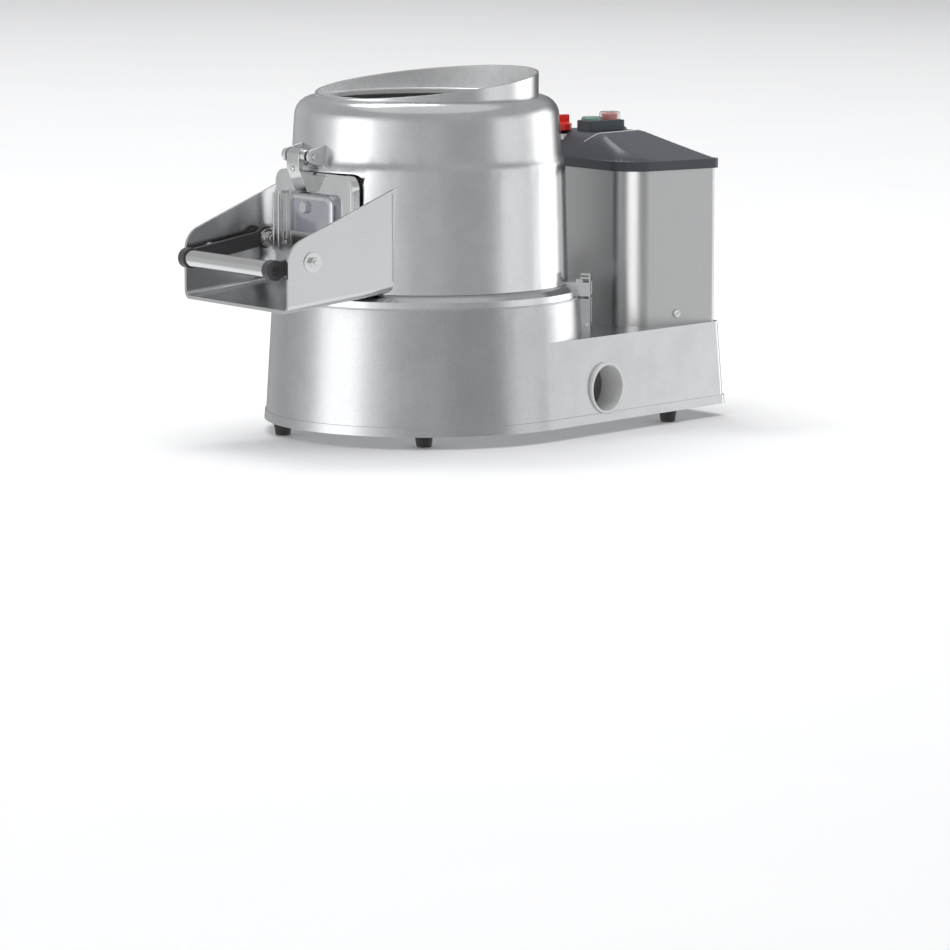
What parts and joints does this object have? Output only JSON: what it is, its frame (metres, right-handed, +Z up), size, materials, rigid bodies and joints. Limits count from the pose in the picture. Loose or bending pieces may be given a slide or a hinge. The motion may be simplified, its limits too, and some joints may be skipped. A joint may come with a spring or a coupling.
{
  "type": "drum vegetable peeler",
  "caption": "Tabletop drum peeler: cast drum on a base with a motor housing behind, an abrasive plate inside and a lever-latched door over a chute.",
  "frame": {"origin": "under the middle of the machine's box, on the ground under the feet", "axes": "+X from the chute to the motor housing, +Y to the left of someone at the chute who looks towards the motor, +Z up along the drum's axis"},
  "size_m": [0.666, 0.3924, 0.433],
  "materials": {
    "cast_aluminium": "satin casting",
    "polished_aluminium": "polished casting",
    "sheet_aluminium": "brushed sheet",
    "brushed_housing": "brushed vertically",
    "bright_steel": "bright plated",
    "steel": "machined",
    "cap_plastic": "gloss slate grey",
    "lever_plastic": "satin dark grey",
    "switch_plastic": "satin blue grey",
    "red_plastic": "gloss red",
    "green_plastic": "gloss green",
    "clear_green": "clear soft silicone, green tint",
    "clear_cover": "clear soft silicone",
    "black_rubber": "moulded rubber",
    "white_plastic": "moulded",
    "abrasive": "coarse abrasive grit",
    "motor_paint": "painted"
  },
  "bodies": {
    "machine": {"base_casting": "cast_aluminium", "bottom_plate": "sheet_aluminium", "plate_screws": "bright_steel", "feet": "black_rubber", "drain_outlet": "white_plastic", "water_pan": "cast_aluminium", "bearing_housing": "cast_aluminium", "bearing_bolts": "bright_steel", "lower_bearing": "steel", "upper_bearing": "steel", "shaft_seal": "black_rubber", "drive_belt": "black_rubber", "motor_casing": "motor_paint", "motor_mount": "steel", "motor_bolts": "bright_steel", "capacitor": "white_plastic", "motor_housing": "brushed_housing", "housing_screws": "bright_steel", "cable_gland": "lever_plastic", "cap": "cap_plastic", "switch_box": "switch_plastic", "switch_block": "lever_plastic", "start_cover": "clear_green", "stop_cover": "clear_cover", "timer_body": "white_plastic", "drum_shell": "cast_aluminium", "wall_liner": "abrasive", "clamp_pins": "bright_steel", "chute": "sheet_aluminium", "chute_studs": "bright_steel", "hinge_ears": "polished_aluminium", "hinge_pin": "bright_steel", "door_spring": "bright_steel"},
    "door": {"door_plate": "polished_aluminium", "door_gasket": "black_rubber", "door_strap": "bright_steel", "door_bolt": "bright_steel", "door_studs": "bright_steel"},
    "lever": {"lever_arms": "lever_plastic", "lever_bar": "bright_steel", "lever_screws": "lever_plastic"},
    "plate_rotor": {"drive_shaft": "steel", "driven_pulley": "steel", "peeling_plate": "cast_aluminium", "plate_abrasive": "abrasive", "centre_bolt": "bright_steel"},
    "motor_rotor": {"motor_shaft": "steel", "motor_rotor": "steel", "drive_pulley": "steel", "motor_fan": "lever_plastic"},
    "timer_knob": {"timer_knob": "red_plastic"},
    "start_button": {"start_button": "green_plastic"},
    "stop_button": {"stop_button": "red_plastic"},
    "near_clamp": {"near_clamp": "bright_steel"},
    "far_clamp": {"far_clamp": "bright_steel"}
  },
  "joints": [
    {"name": "door_hinge", "type": "hinge", "parent": "machine", "child": "door", "pos_m": [-0.21758, 0, 0.337], "axis": [0, 1, 0], "range_deg": [0, 70]},
    {"name": "lever_pivot", "type": "hinge", "parent": "door", "child": "lever", "pos_m": [-0.21258, 0, 0.2336], "axis": [0, 1, 0], "range_deg": [0, 50]},
    {"name": "plate_spin", "type": "hinge", "parent": "machine", "child": "plate_rotor", "pos_m": [-0.04258, 0, 0.1], "axis": [0, 0, 1], "continuous": true},
    {"name": "motor_spin", "type": "hinge", "parent": "machine", "child": "motor_rotor", "pos_m": [0.25442, 0, 0.1], "axis": [0, 0, 1], "continuous": true},
    {"name": "timer_turn", "type": "hinge", "parent": "machine", "child": "timer_knob", "pos_m": [0.20042, 0.066, 0.35], "axis": [0, 0, -1], "range_deg": [0, 300]},
    {"name": "start_press", "type": "slide", "parent": "machine", "child": "start_button", "axis": [0, 0, -1], "range_m": [0, 0.0025], "stiffness_N_per_m": 400, "springref_m": -0.0005},
    {"name": "stop_press", "type": "slide", "parent": "machine", "child": "stop_button", "axis": [0, 0, -1], "range_m": [0, 0.0025], "stiffness_N_per_m": 400, "springref_m": -0.0005},
    {"name": "near_clamp_swing", "type": "hinge", "parent": "machine", "child": "near_clamp", "pos_m": [0.10196, -0.13015, 0.13], "axis": [0.6691, 0.7431, 0], "range_deg": [0, 75]},
    {"name": "far_clamp_swing", "type": "hinge", "parent": "machine", "child": "far_clamp", "pos_m": [0.10196, 0.13015, 0.13], "axis": [-0.6691, 0.7431, 0], "range_deg": [0, 75]}
  ],
  "couplings": [
    {"joint": "motor_spin", "follows": "plate_spin", "ratio": 4.0476}
  ]
}
